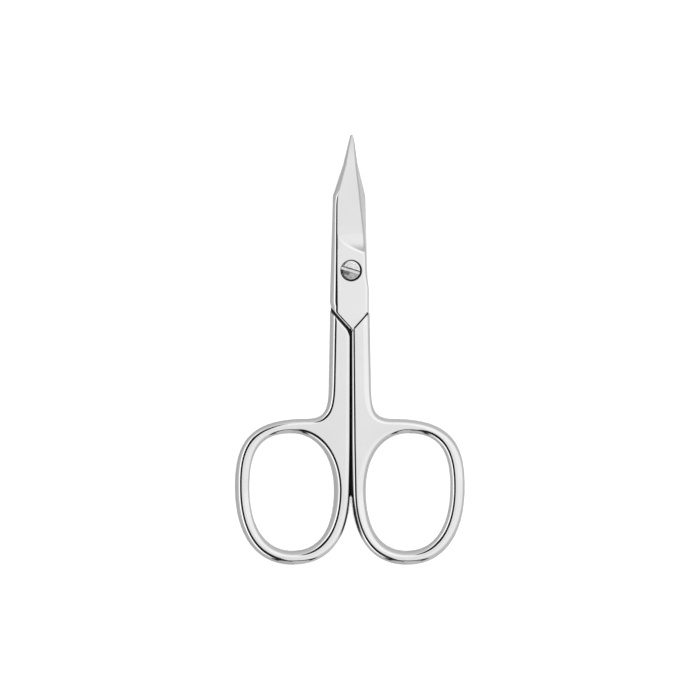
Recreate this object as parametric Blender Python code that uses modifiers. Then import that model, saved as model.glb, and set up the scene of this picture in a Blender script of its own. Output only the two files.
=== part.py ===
"""Nail scissors: two forged halves, crossed and held by one slotted screw.

The scissors lie flat on a table. +Z is up, +Y points to the blade tips and +X to the right.
The world origin is on the table, under the middle of the outer box. Each half is modelled
round the screw's axis and then placed, so that axis is the origin of every piece.
"""

import math

import bmesh
import bpy
from mathutils import Vector

MM = 0.001

# Overall sizes, measured from the screw's axis or from the middle line between the bows
BLADE_REACH = 28.35 * MM
HANDLE_REACH = 61.65 * MM
BOW_REACH = 24.07 * MM
THICKNESS = 3.2 * MM
PIVOT_OFFSET = 0.26 * MM

# Layers at the joint
FACE_STEP = 0.15 * MM
BLADE_GAP = 0.3 * MM
CURVE_START = 5.0 * MM
CURVE_RADIUS = 70.0 * MM

# Blade outline, from the blades' own middle line
BLADE_OFFSET = -0.41 * MM
TIP_OFFSET = 0.14 * MM
HEEL_REACH = 7.0 * MM
HEEL_HALF = 4.03 * MM
TOWER_REACH = 15.6 * MM
TOWER_HALF = 3.38 * MM
KNEE_REACH = 22.2 * MM
KNEE_HALF = 1.5 * MM
TIP_HALF = 0.3 * MM
SHIELD_EDGE = 3.63 * MM
EDGE_START_REACH = 5.0 * MM
EDGE_START = 3.5 * MM
EDGE_KNEE_REACH = 16.2 * MM
EDGE_KNEE = 2.3 * MM

# Blade section
SPINE_BEVEL = 1.3 * MM
HEEL_BEVEL = 0.7 * MM
TOWER_BEVEL = 0.9 * MM
TIP_BEVEL = 0.14 * MM
TIP_THICKNESS = 0.55 * MM
EDGE_THICKNESS = 0.3 * MM
RUNOUT_SPINE = 6.9 * MM
RUNOUT_EDGE = 2.3 * MM
RUNOUT_LENGTH = 3.0 * MM
WALL_SHARE = 0.42

# Shoulders, where each shank meets the other half's shield
SHOULDER_REACH = 8.75 * MM
SHOULDER_HALF = 3.74 * MM
SHOULDER_ANGLE = math.radians(48.0)
SHOULDER_CLEARANCE = 0.66 * MM

# Shanks and the parting between them
PARTING_GAP = 0.5 * MM
PARTING_OFFSET = 0.1 * MM
PARTING_PAST = 0.75 * MM
SHANK_TOP_REACH = 5.0 * MM
SHANK_TOP_HALF = 4.1 * MM
FLARE_REACH = 23.1 * MM
FLARE_HALF = 4.4 * MM
ROUNDING = 1.3 * MM

# Finger bows
RING_WIDTH = 3.0 * MM
RING_FOOT_WIDTH = 2.9 * MM
BOW_TOP_REACH = 31.13 * MM
BOW_TOP_MIDDLE = 9.3 * MM
BOW_OUTER_REACH = 45.3 * MM
BOW_FOOT_MIDDLE = 12.0 * MM
BOW_INNER_REACH = 46.0 * MM
HOLE_TOP_MIDDLE = 12.3 * MM
BOW_CLEARANCE = 0.05 * MM
HOLE_INNER_MIDDLE = 3.35 * MM
FLARE_DROP_SHARE = 0.78
FLARE_TURN_SHARE = 0.88
TOP_TURN_SHARE = 0.84
SIDE_TURN_SHARE = 0.6
UPPER_OUTER_SHARE = 0.7
LOWER_OUTER_SHARE = 0.63
LOWER_INNER_SHARE = 0.645
UPPER_INNER_SHARE = 0.6

# Screw
HEAD_RADIUS = 2.05 * MM
HEAD_HEIGHT = 0.6 * MM
HEAD_CHAMFER = 0.12 * MM
HEAD_SEAT_CLEARANCE = 0.1 * MM
COUNTERBORE_CLEARANCE = 0.2 * MM
COUNTERBORE_DEPTH = 0.75 * MM
SLOT_WIDTH = 0.8 * MM
SLOT_DEPTH = 0.3 * MM
SLOT_ANGLE = math.radians(-17.0)
NECK_RADIUS = 1.3 * MM
RUNNING_CLEARANCE = 0.05 * MM
THREAD_RADIUS = 1.15 * MM
THREAD_DEPTH = 0.2 * MM
THREAD_PITCH = 0.4 * MM
THREAD_END_RECESS = 0.02 * MM
THREAD_START_SHARE = 0.25

# How finely round shapes are divided
OVERRUN = 1.0 * MM
MERGE = 0.0001 * MM
CURVE_STEPS = 10
ROUNDING_STEPS = 3
TURN_STEPS = 48
THREAD_STEPS = 24
THREAD_ROWS = 4

# Heights worked out from the layers
MIDDLE = THICKNESS / 2
PLATE = MIDDLE - FACE_STEP - BLADE_GAP / 2
FRONT_FACE = THICKNESS - FACE_STEP
FRONT_SEAT = MIDDLE + BLADE_GAP / 2
REAR_SEAT = MIDDLE - BLADE_GAP / 2
COUNTERBORE_FLOOR = FRONT_FACE - COUNTERBORE_DEPTH
HEAD_SEAT = COUNTERBORE_FLOOR + HEAD_SEAT_CLEARANCE
HEAD_TOP = HEAD_SEAT + HEAD_HEIGHT
PIVOT = Vector((PIVOT_OFFSET, (HANDLE_REACH - BLADE_REACH) / 2, 0))

FRONT = 1
REAR = -1


def start_scene():
    for old in list(bpy.data.objects):
        bpy.data.objects.remove(old, do_unlink=True)


def new_collection(name):
    collection = bpy.data.collections.new(name)
    bpy.context.scene.collection.children.link(collection)
    return collection


def metal(name, shade, roughness):
    material = bpy.data.materials.new(name)
    material.use_nodes = True
    surface = material.node_tree.nodes["Principled BSDF"]
    surface.inputs["Base Color"].default_value = (shade, shade, shade, 1)
    surface.inputs["Metallic"].default_value = 1
    surface.inputs["Roughness"].default_value = roughness
    return material


def add_object(name, data, collection):
    piece = bpy.data.objects.new(name, data)
    piece.location = PIVOT
    collection.objects.link(piece)
    return piece


def as_guide(piece):
    piece.hide_render = True
    piece.display_type = "WIRE"
    return piece


def combine(piece, other, operation):
    modifier = piece.modifiers.new(other.name, "BOOLEAN")
    modifier.operation = operation
    modifier.solver = "EXACT"
    modifier.object = other


def mesh_from(name, bm):
    bmesh.ops.recalc_face_normals(bm, faces=bm.faces)
    mesh = bpy.data.meshes.new(name)
    bm.to_mesh(mesh)
    bm.free()
    return mesh


def between(points, place):
    """Read a broken line of (place, value) points, held level past its ends."""
    if place <= points[0][0]:
        return points[0][1]
    for (start, low), (stop, high) in zip(points, points[1:]):
        if place <= stop:
            return low + (high - low) * (place - start) / (stop - start)
    return points[-1][1]


def ease(share):
    share = min(max(share, 0), 1)
    return share * share * (3 - 2 * share)


def spread(start, stop, count):
    return [start + (stop - start) * step / count for step in range(count)]


def rise(x, y):
    """Upward curve of the blades: their sliding faces are turned about the screw's axis."""
    along = max(math.hypot(x, y) - CURVE_START, 0) if y > 0 else 0
    return CURVE_RADIUS - math.sqrt(CURVE_RADIUS**2 - along**2)


def blade_middle(y):
    return between([(TOWER_REACH, BLADE_OFFSET), (BLADE_REACH, TIP_OFFSET)], y)


def shield_foot(y):
    """Half width of the shield down its slanting foot, from the middle line of the bows."""
    foot = SHOULDER_REACH - SHOULDER_CLEARANCE / math.cos(SHOULDER_ANGLE)
    return SHOULDER_HALF + (y + foot) / math.tan(SHOULDER_ANGLE)


def spine_side(y, side):
    """Place of a blade's back, to the left on the front half and to the right on the rear half."""
    outline = [(-HEEL_REACH, HEEL_HALF), (TOWER_REACH, TOWER_HALF)]
    outline += [(KNEE_REACH, KNEE_HALF), (BLADE_REACH, TIP_HALF)]
    back = between(outline, y) - side * blade_middle(y)
    foot = shield_foot(y) + side * PIVOT_OFFSET
    return -side * min(back, foot)


def edge_side(y, side):
    """Place of a blade's cutting edge, across from its back."""
    outline = [(0, SHIELD_EDGE), (EDGE_START_REACH, EDGE_START)]
    outline += [(EDGE_KNEE_REACH, EDGE_KNEE), (BLADE_REACH, TIP_HALF)]
    return side * (between(outline, y) + side * blade_middle(y))


def bevel_width(y):
    widths = [(-SHOULDER_REACH, HEEL_BEVEL), (-HEEL_REACH / 2, SPINE_BEVEL)]
    widths += [(RUNOUT_SPINE, SPINE_BEVEL), (TOWER_REACH, TOWER_BEVEL)]
    widths += [(BLADE_REACH, TIP_BEVEL)]
    return between(widths, y)


def blade_thickness(y, share):
    """Thickness over the ground face, from the crease (share 0) to the cutting edge (share 1)."""
    spine = between([(RUNOUT_SPINE, PLATE), (BLADE_REACH, TIP_THICKNESS)], y)
    ground = spine + (EDGE_THICKNESS - spine) * share
    runout = RUNOUT_SPINE + (RUNOUT_EDGE - RUNOUT_SPINE) * share
    worn = ease((y - runout) / RUNOUT_LENGTH)
    return PLATE + (ground - PLATE) * worn


def blade_section(y, side):
    """Closed section of the shield or blade at one place: x, y, z points round it."""
    back = spine_side(y, side)
    edge = edge_side(y, side)
    bevel = side * bevel_width(y)
    seat = FRONT_SEAT if side == FRONT else REAR_SEAT
    crease_thickness = blade_thickness(y, 0)
    wall = crease_thickness * WALL_SHARE
    outer = []
    for step in range(ROUNDING_STEPS):
        turn = math.pi / 2 * step / ROUNDING_STEPS
        x = back + bevel * (1 - math.cos(turn))
        outer.append((x, wall + (crease_thickness - wall) * math.sin(turn)))
    face_shares = (0, 0.3, 0.6, 0.85, 1)
    for share in face_shares:
        x = back + bevel + (edge - back - bevel) * share
        outer.append((x, blade_thickness(y, share)))
    inner_shares = (1, 0.75, 0.5, 0.25, 0)
    inner = [(back + (edge - back) * share, 0) for share in inner_shares]
    return [Vector((x, y, seat + rise(x, y) + side * depth)) for x, depth in outer + inner]


def blade_stations():
    """Places of the sections, closest where the shape turns."""
    foot = SHOULDER_REACH + SHOULDER_HALF * math.tan(SHOULDER_ANGLE)
    corner = SHOULDER_REACH - SHOULDER_CLEARANCE / math.cos(SHOULDER_ANGLE)
    places = spread(-foot, -corner, 4)
    places += spread(-corner, 0, 6)
    places += spread(0, RUNOUT_SPINE + RUNOUT_LENGTH, 8)
    places += spread(RUNOUT_SPINE + RUNOUT_LENGTH, TOWER_REACH, 3)
    places += spread(TOWER_REACH, KNEE_REACH, 5)
    places += spread(KNEE_REACH, BLADE_REACH, 4)
    return places + [BLADE_REACH]


def blade_loft(name, side, collection):
    """Shield and blade of one half, lofted from the shield's foot to the tip."""
    bm = bmesh.new()
    rings = []
    for y in blade_stations():
        rings.append([bm.verts.new(point) for point in blade_section(y, side)])
    for ring, following in zip(rings, rings[1:]):
        for place in range(len(ring)):
            before = place - 1
            bm.faces.new((ring[before], ring[place], following[place], following[before]))
    bm.faces.new(rings[0])
    bm.faces.new(rings[-1])
    blade = add_object(name, mesh_from(name, bm), collection)
    return as_guide(blade)


def bezier_loop(curve, points):
    """Closed loop through (point, handle before, handle after), handles as offsets or None."""
    spline = curve.splines.new("BEZIER")
    spline.bezier_points.add(len(points) - 1)
    spline.use_cyclic_u = True
    for knot, (place, before, after) in zip(spline.bezier_points, points):
        knot.co = (place[0], place[1], 0)
        knot.handle_left_type = "FREE" if before else "VECTOR"
        knot.handle_right_type = "FREE" if after else "VECTOR"
        if before:
            knot.handle_left = (place[0] + before[0], place[1] + before[1], 0)
        if after:
            knot.handle_right = (place[0] + after[0], place[1] + after[1], 0)


def handle_outline(side):
    """Outer outline of a shank and its bow, from the middle line outwards, then the parting."""
    parting = side * PARTING_OFFSET + PARTING_GAP / 2
    top = (BOW_TOP_MIDDLE, -BOW_TOP_REACH)
    outer = (BOW_REACH, -BOW_OUTER_REACH)
    foot = (BOW_FOOT_MIDDLE, -HANDLE_REACH)
    inner = (parting + BOW_CLEARANCE, -BOW_INNER_REACH)
    flare = (FLARE_HALF, -FLARE_REACH)
    upper_run = outer[0] - top[0]
    upper_drop = top[1] - outer[1]
    lower_run = outer[0] - foot[0]
    lower_drop = outer[1] - foot[1]
    inner_run = foot[0] - inner[0]
    inner_drop = inner[1] - foot[1]
    flare_run = top[0] - flare[0]
    flare_drop = flare[1] - top[1]
    return [
        ((SHANK_TOP_HALF, -SHANK_TOP_REACH), None, None),
        (flare, None, (0, -FLARE_DROP_SHARE * flare_drop)),
        (top, (-FLARE_TURN_SHARE * flare_run, 0), (TOP_TURN_SHARE * upper_run, 0)),
        (outer, (0, SIDE_TURN_SHARE * upper_drop), (0, -LOWER_OUTER_SHARE * lower_drop)),
        (foot, (LOWER_OUTER_SHARE * lower_run, 0), (-LOWER_INNER_SHARE * inner_run, 0)),
        (inner, (0, -LOWER_INNER_SHARE * inner_drop), None),
        ((parting - PARTING_PAST, -SHANK_TOP_REACH), None, None),
    ]


def hole_outline():
    """Finger hole: the bow's outline less its ring."""
    top = (HOLE_TOP_MIDDLE, -BOW_TOP_REACH - RING_WIDTH)
    outer = (BOW_REACH - RING_WIDTH, -BOW_OUTER_REACH)
    foot = (BOW_FOOT_MIDDLE, -HANDLE_REACH + RING_FOOT_WIDTH)
    inner = (HOLE_INNER_MIDDLE, -BOW_INNER_REACH)
    upper_outer = (outer[0] - top[0], top[1] - outer[1])
    lower_outer = (outer[0] - foot[0], outer[1] - foot[1])
    lower_inner = (foot[0] - inner[0], inner[1] - foot[1])
    upper_inner = (top[0] - inner[0], top[1] - inner[1])
    return [
        (top, (-UPPER_INNER_SHARE * upper_inner[0], 0), (UPPER_OUTER_SHARE * upper_outer[0], 0)),
        (outer, (0, UPPER_OUTER_SHARE * upper_outer[1]), (0, -LOWER_OUTER_SHARE * lower_outer[1])),
        (foot, (LOWER_OUTER_SHARE * lower_outer[0], 0), (-LOWER_INNER_SHARE * lower_inner[0], 0)),
        (inner, (0, -LOWER_INNER_SHARE * lower_inner[1]), (0, UPPER_INNER_SHARE * upper_inner[1])),
    ]


def turned_over(outline, side):
    """Outline on its own side of the middle line, placed from the screw's axis."""
    placed = []
    for place, before, after in outline:
        moved = (side * place[0] - PIVOT_OFFSET, place[1])
        turned = [(side * handle[0], handle[1]) if handle else None for handle in (before, after)]
        placed.append((moved, turned[0], turned[1]))
    return placed


def curve_to_mesh(name, curve, collection):
    """Mesh of a curve object, its caps welded on."""
    drawn = add_object(name + "_curve", curve, collection)
    bpy.context.view_layer.update()
    evaluated = drawn.evaluated_get(bpy.context.evaluated_depsgraph_get())
    mesh = bpy.data.meshes.new_from_object(evaluated)
    mesh.name = name
    bm = bmesh.new()
    bm.from_mesh(mesh)
    bmesh.ops.remove_doubles(bm, verts=bm.verts, dist=MERGE)
    bmesh.ops.recalc_face_normals(bm, faces=bm.faces)
    bm.to_mesh(mesh)
    bm.free()
    place = drawn.matrix_world.copy()
    bpy.data.objects.remove(drawn)
    piece = bpy.data.objects.new(name, mesh)
    piece.matrix_world = place
    collection.objects.link(piece)
    return piece


def rounded_handle(name, side, collection):
    """Shank and bow in one, an outline with rounded edges."""
    curve = bpy.data.curves.new(name, "CURVE")
    curve.dimensions = "2D"
    curve.fill_mode = "BOTH"
    curve.resolution_u = CURVE_STEPS
    curve.extrude = MIDDLE - ROUNDING
    curve.bevel_depth = ROUNDING
    curve.bevel_resolution = ROUNDING_STEPS - 1
    curve.offset = -ROUNDING
    bezier_loop(curve, turned_over(handle_outline(side), side))
    bezier_loop(curve, turned_over(hole_outline(), side))
    piece = curve_to_mesh(name, curve, collection)
    piece.location.z += MIDDLE
    return piece


def flat_cutter(name, corners, collection):
    """Straight-sided slab that cuts right through the thickness."""
    curve = bpy.data.curves.new(name, "CURVE")
    curve.dimensions = "2D"
    curve.fill_mode = "BOTH"
    curve.extrude = MIDDLE + OVERRUN
    bezier_loop(curve, [(corner, None, None) for corner in corners])
    cutter = curve_to_mesh(name, curve, collection)
    cutter.location.z += MIDDLE
    return as_guide(cutter)


def parting_cutter(side, collection):
    """Takes off what lies past the parting between the shanks."""
    near = PARTING_OFFSET - PIVOT_OFFSET + side * PARTING_GAP / 2
    far = near - side * (PARTING_PAST + OVERRUN)
    foot = -BOW_INNER_REACH
    corners = [(near, foot), (near, 0), (far, 0), (far, foot)]
    return flat_cutter("parting_cutter_" + side_name(side), corners, collection)


def shoulder_cutter(side, collection):
    """Takes off the top of a shank along its slanting shoulder."""
    slope = math.tan(SHOULDER_ANGLE)
    near = -SHOULDER_HALF
    far = SHOULDER_HALF * 2
    ends = [(run, -SHOULDER_REACH + (run - SHOULDER_HALF) * slope) for run in (near, far)]
    corners = ends + [(far, SHOULDER_REACH), (near, SHOULDER_REACH)]
    placed = [(side * run - PIVOT_OFFSET, reach) for run, reach in corners]
    return flat_cutter("shoulder_cutter_" + side_name(side), placed, collection)


def side_name(side):
    return "front" if side == FRONT else "rear"


def turned(name, profile, collection, steps):
    """Solid turned about the screw's axis from a (radius, height) profile, top to bottom."""
    mesh = bpy.data.meshes.new(name)
    points = [(radius, 0, height) for radius, height in profile]
    mesh.from_pydata(points, [(step, step + 1) for step in range(len(points) - 1)], [])
    piece = add_object(name, mesh, collection)
    screw = piece.modifiers.new("turn", "SCREW")
    screw.angle = math.tau
    screw.steps = steps
    screw.render_steps = steps
    screw.use_merge_vertices = True
    screw.merge_threshold = MERGE
    return piece


def cylinder_cutter(name, radius, low, high, collection):
    profile = [(0, high), (radius, high), (radius, low), (0, low)]
    return as_guide(turned(name, profile, collection, TURN_STEPS))


def threaded_rod(name, radius, low, high, collection):
    """Rod with a screw thread: rings of points whose radius follows the helix."""
    count = math.ceil((high - low) / THREAD_PITCH * THREAD_ROWS)
    bm = bmesh.new()
    rings = []
    for row in range(count + 1):
        height = low + (high - low) * row / count
        ring = []
        for step in range(THREAD_STEPS):
            turn = (step + THREAD_START_SHARE) / THREAD_STEPS
            phase = (height / THREAD_PITCH - turn) % 1
            depth = THREAD_DEPTH * abs(1 - 2 * phase)
            angle = math.tau * turn
            reach = radius - depth
            point = (reach * math.cos(angle), reach * math.sin(angle), height)
            ring.append(bm.verts.new(point))
        rings.append(ring)
    for ring, above in zip(rings, rings[1:]):
        for step in range(THREAD_STEPS):
            bm.faces.new((ring[step - 1], ring[step], above[step], above[step - 1]))
    bm.faces.new(rings[0])
    bm.faces.new(rings[-1])
    return as_guide(add_object(name, mesh_from(name, bm), collection))


def make_half(side, parts, cutters, steel):
    """One half of the scissors: shank and bow, shoulder, shield and blade in one piece."""
    name = side_name(side) + "_half"
    half = rounded_handle(name, side, parts)
    half.data.materials.append(steel)
    combine(half, parting_cutter(side, cutters), "DIFFERENCE")
    combine(half, shoulder_cutter(side, cutters), "DIFFERENCE")
    combine(half, blade_loft("blade_" + side_name(side), side, cutters), "UNION")
    return half


def bore_front(half, cutters):
    counterbore = cylinder_cutter(
        "counterbore_cutter", HEAD_RADIUS + COUNTERBORE_CLEARANCE,
        COUNTERBORE_FLOOR, THICKNESS + OVERRUN, cutters)
    hole = cylinder_cutter(
        "neck_hole_cutter", NECK_RADIUS + RUNNING_CLEARANCE,
        MIDDLE - OVERRUN, FRONT_FACE, cutters)
    combine(half, counterbore, "DIFFERENCE")
    combine(half, hole, "DIFFERENCE")


def bore_rear(half, cutters):
    tapping = threaded_rod(
        "thread_cutter", THREAD_RADIUS + RUNNING_CLEARANCE, -OVERRUN, THICKNESS, cutters)
    combine(half, tapping, "DIFFERENCE")


def make_screw(parts, cutters, steel):
    """Slotted screw: a cylinder head in the counterbore, a plain neck and a threaded end."""
    profile = [
        (0, HEAD_TOP),
        (HEAD_RADIUS - HEAD_CHAMFER, HEAD_TOP),
        (HEAD_RADIUS, HEAD_TOP - HEAD_CHAMFER),
        (HEAD_RADIUS, HEAD_SEAT),
        (NECK_RADIUS, HEAD_SEAT),
        (NECK_RADIUS, REAR_SEAT + RUNNING_CLEARANCE),
        (0, REAR_SEAT + RUNNING_CLEARANCE),
    ]
    screw = turned("pivot_screw", profile, parts, TURN_STEPS)
    screw.data.materials.append(steel)
    end = FACE_STEP + THREAD_END_RECESS
    thread = threaded_rod("screw_thread", THREAD_RADIUS, end, FRONT_SEAT, cutters)
    combine(screw, thread, "UNION")
    bm = bmesh.new()
    bmesh.ops.create_cube(bm, size=1)
    size = Vector((2 * (HEAD_RADIUS + OVERRUN), SLOT_WIDTH, 2 * SLOT_DEPTH))
    bmesh.ops.scale(bm, vec=size, verts=bm.verts)
    slot = as_guide(add_object("slot_cutter", mesh_from("slot_cutter", bm), cutters))
    slot.location.z += HEAD_TOP
    slot.rotation_euler.z = SLOT_ANGLE
    combine(screw, slot, "DIFFERENCE")
    return screw


def shade(piece):
    piece.data.shade_smooth()
    piece.data.set_sharp_from_angle(angle=math.radians(32))


def main():
    start_scene()
    parts = new_collection("nail_scissors")
    cutters = new_collection("cutters")
    polished = metal("polished_steel", 0.8, 0.1)
    turned_steel = metal("screw_steel", 0.62, 0.32)

    axis = add_object("pivot_axis", None, parts)
    front = make_half(FRONT, parts, cutters, polished)
    bore_front(front, cutters)
    rear = make_half(REAR, parts, cutters, polished)
    bore_rear(rear, cutters)
    screw = make_screw(parts, cutters, turned_steel)

    bpy.context.view_layer.update()
    front.parent = axis
    front.matrix_parent_inverse = axis.matrix_world.inverted()
    for piece in (front, rear, screw):
        shade(piece)


main()
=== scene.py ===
import math

import bmesh
import bpy
from mathutils import Matrix, Vector


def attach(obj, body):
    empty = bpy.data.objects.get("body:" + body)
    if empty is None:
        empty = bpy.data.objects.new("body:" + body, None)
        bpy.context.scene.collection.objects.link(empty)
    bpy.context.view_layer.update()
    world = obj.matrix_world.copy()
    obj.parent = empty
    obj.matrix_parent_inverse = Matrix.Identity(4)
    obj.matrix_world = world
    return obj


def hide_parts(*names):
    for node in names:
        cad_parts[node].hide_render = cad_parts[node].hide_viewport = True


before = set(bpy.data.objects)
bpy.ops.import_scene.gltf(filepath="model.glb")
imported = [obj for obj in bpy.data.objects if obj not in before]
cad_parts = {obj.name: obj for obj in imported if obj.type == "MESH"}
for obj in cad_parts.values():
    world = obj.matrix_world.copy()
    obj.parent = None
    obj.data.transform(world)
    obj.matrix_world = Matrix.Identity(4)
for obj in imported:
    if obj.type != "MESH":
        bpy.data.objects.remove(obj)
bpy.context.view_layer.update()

MM = 0.001
FRONT = 1
REAR = -1
SIDE_NAME = {FRONT: "front", REAR: "rear"}

# Overall sizes, from the screw's axis or from the middle line between the bows
BLADE_REACH = 28.35 * MM
HANDLE_REACH = 61.65 * MM
BOW_REACH = 24.07 * MM
THICKNESS = 3.2 * MM
PIVOT = Vector((0.26, 16.65, 0)) * MM
MIDDLE = THICKNESS / 2

# Layers at the joint
FACE_STEP = 0.15 * MM
BLADE_GAP = 0.14 * MM
FRONT_FACE = THICKNESS - FACE_STEP
PLATE = MIDDLE - FACE_STEP - BLADE_GAP / 2
CURVE_START = 5.0 * MM
CURVE_RADIUS = 70.0 * MM

# Blade outline, from the blades' own middle line
BLADE_OFFSET = -0.41 * MM
TIP_OFFSET = 0.14 * MM
HEEL_REACH = 7.0 * MM
HEEL_HALF = 4.03 * MM
TOWER_REACH = 15.6 * MM
TOWER_HALF = 3.38 * MM
KNEE_REACH = 22.2 * MM
KNEE_HALF = 1.5 * MM
TIP_HALF = 0.3 * MM
TIP_ROUND = 0.3 * MM
SHIELD_EDGE = 3.63 * MM
HEEL_SPREAD = {FRONT: 0.47 * MM, REAR: 0.2 * MM}
HEEL_SPREAD_REACH = 4.0 * MM
EDGE_START_REACH = 5.0 * MM
EDGE_START = 3.5 * MM
EDGE_KNEE_REACH = 16.2 * MM
EDGE_KNEE = 2.3 * MM
BLADE_FOOT = 12.2 * MM
LEAST_SHARE = 0.02
SHIELD_BACK = ((-HEEL_REACH, HEEL_HALF), (TOWER_REACH, TOWER_HALF))
TOWER_BACK = ((KNEE_REACH, KNEE_HALF), (BLADE_REACH, TIP_HALF))
EDGE_OUTLINE = ((0, SHIELD_EDGE), (EDGE_START_REACH, EDGE_START),
                (EDGE_KNEE_REACH, EDGE_KNEE), (BLADE_REACH, TIP_HALF))

# Blade section
HEEL_BEVEL = 1.75 * MM
FOOT_BEVEL = 0.5 * MM
SHIELD_BEVEL = 1.48 * MM
TOWER_BEVEL = 1.06 * MM
KNEE_BEVEL = 0.64 * MM
TIP_BEVEL = 0.25 * MM
BEVEL_WIDTHS = ((-HEEL_REACH, HEEL_BEVEL), (0, SHIELD_BEVEL), (TOWER_REACH, TOWER_BEVEL),
                (KNEE_REACH, KNEE_BEVEL), (BLADE_REACH, TIP_BEVEL))
WIDEST_BEVEL_SHARE = 0.45
DEEPEST_BEVEL_SHARE = 0.85
BEVEL_DROP = 0.78
FOOT_DROP = 0.28
FOOT_BLEND = 1.2 * MM
SEAT_CHAMFER = 0.24 * MM
SEAT_CHAMFER_DEPTH = 0.2 * MM
SEAT_CHAMFER_FADE = -1.0 * MM
SEAT_CHAMFER_FADE_REACH = 5.0 * MM
CHAMFER_START = 13.5 * MM
CHAMFER_STOP = 18.5 * MM
TIP_THICKNESS = 0.55 * MM
EDGE_THICKNESS = 0.42 * MM
CUTTING_THICKNESS = 0.06 * MM
CUTTING_BEVEL = 0.34 * MM
GRIND_RUN_IN = 3.0 * MM
TIP_BEVEL_OVERRUN = 1.5 * MM
TIP_BEVEL_REACH = 8.0 * MM
SHIELD_ROUNDING = 0.7 * MM
RUNOUT_SPINE = 7.9 * MM
RUNOUT_EDGE = 3.95 * MM
RUNOUT_BEND = 0.5
WHEEL_RADIUS = 8.0 * MM
RUNOUT_SHARPNESS = 0.1 * MM
CREST_WIDTH = 0.6 * MM
CREST_DROP = 0.06 * MM
DEEPEST_CREST_SHARE = 0.7
WARP_REACH = 7.0 * MM

# Shoulders, where each shank meets the other half's shield
SHOULDER_REACH = 8.96 * MM
SHOULDER_DROP = {FRONT: 0.3 * MM, REAR: 0}
SHOULDER_HALF = 3.74 * MM
SHOULDER_ANGLE = math.radians(48.0)
SHOULDER_CLEARANCE = 0.58 * MM
SHOULDER_RIM = {FRONT: 0.1 * MM, REAR: 0.3 * MM}
SHOULDER_OVERLAP = 0.5 * MM
CORNER_TURN = {FRONT: 0.5 * MM, REAR: 1.4 * MM}
CORNER_RIM = {FRONT: 0.1 * MM, REAR: 0.42 * MM}
CORNER_PULL = 0.55
RELIEF_WIDTH = 0.75 * MM
RELIEF_DEPTH = 0.3 * MM
RELIEF_DROP = 0.15 * MM
GROOVE_WIDTH = 0.34 * MM
GROOVE_DEPTH = 0.2 * MM
GROOVE_FLOOR_SHARE = 0.3
GROOVE_DROP = 0.02 * MM
GROOVE_LEAD = 0.05 * MM

# Shanks and the parting between them
PARTING_GAP = 0.44 * MM
PARTING_OFFSET = 0.2 * MM
PARTING_ROUNDING = 0.64 * MM
PARTING_MIDDLE_ROUNDING = 0.9 * MM
PARTING_FOOT_ROUNDING = 1.08 * MM
PARTING_MIDDLE_REACH = 36.0 * MM
SHANK_TOP_HALF = 4.1 * MM
SHANK_TOP_REACH = 5.0 * MM
FLARE_REACH = 23.1 * MM
FLARE_HALF = 4.4 * MM
ROUNDING = 1.5 * MM
TOP_ROUNDING = 1.18 * MM
FOOT_ROUNDING = 1.38 * MM
HOLE_TOP_ROUNDING = 1.36 * MM
HOLE_OUTER_ROUNDING = 1.2 * MM
HOLE_FOOT_ROUNDING = 1.38 * MM
INNER_ROUNDING = 1.72 * MM
ROUND_PULL = 0.5523
RIM_SOFTNESS = 1.8 * MM
FLAT_RIM = 0.03 * MM

# Lapped ledges in the parting, which keep nails and lint from passing through
LEDGE_REACH = 0.32 * MM
LEDGE_ROOT = 0.35 * MM
LEDGE_TOP_ROOT = {FRONT: 0.35 * MM, REAR: 1.05 * MM}
LEDGE_ROOT_TURN = 1.0 * MM
LEDGE_LEAD = {FRONT: 0.35 * MM, REAR: 1.0 * MM}
LEDGE_FOOT_REACH = 46.9 * MM
LEDGE_RUN_OUT = 0.6 * MM
LEDGE_CHAMFER = 0.1 * MM
LEDGE = {FRONT: (1.75 * MM, 2.2 * MM), REAR: (0.9 * MM, 1.5 * MM)}

# Finger bows
RING_WIDTH = 3.0 * MM
RING_FOOT_WIDTH = 2.9 * MM
BOW_TOP_REACH = 31.13 * MM
BOW_TOP_MIDDLE = 9.3 * MM
BOW_OUTER_REACH = 45.3 * MM
BOW_FOOT_MIDDLE = 12.0 * MM
BOW_INNER_REACH = 46.0 * MM
HOLE_TOP_MIDDLE = 12.3 * MM
HOLE_INNER_MIDDLE = 3.35 * MM
FLARE_DROP_SHARE = 0.78
FLARE_TURN_SHARE = 0.88
TOP_TURN_SHARE = 0.84
SIDE_TURN_SHARE = 0.6
UPPER_OUTER_SHARE = 0.7
LOWER_OUTER_SHARE = 0.63
LOWER_INNER_SHARE = 0.645
UPPER_INNER_SHARE = 0.6

# Screw
HEAD_RADIUS = 2.0 * MM
HEAD_HEIGHT = 0.6 * MM
HEAD_CHAMFER = 0.1 * MM
HEAD_TOP = 3.0 * MM
HEAD_DOME = 0.03 * MM
COUNTERBORE_RADIUS = 2.25 * MM
COUNTERBORE_SHIFT = Vector((0.03, -0.05, 0)) * MM
HEAD_SHIFT = Vector((-0.11, 0.04, 0)) * MM
COUNTERBORE_DEPTH = 0.75 * MM
COUNTERBORE_RIM = 0.07 * MM
SLOT_WIDTH = 0.8 * MM
SLOT_DEPTH = 0.3 * MM
SLOT_EDGE = 0.05 * MM
SLOT_ANGLE = math.radians(-17.0)
NECK_RADIUS = 1.3 * MM
NECK_HOLE_RADIUS = 1.35 * MM
THREAD_CORE = 0.93 * MM
THREAD_RADIUS = 1.12 * MM
THREAD_HOLE_RADIUS = 1.17 * MM
THREAD_PITCH = 0.4 * MM
THREAD_START = 0.8
THREAD_END_RECESS = 0.02 * MM
END_CHAMFER = 0.08 * MM
HOLE_CHAMFER = 0.15 * MM

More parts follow.
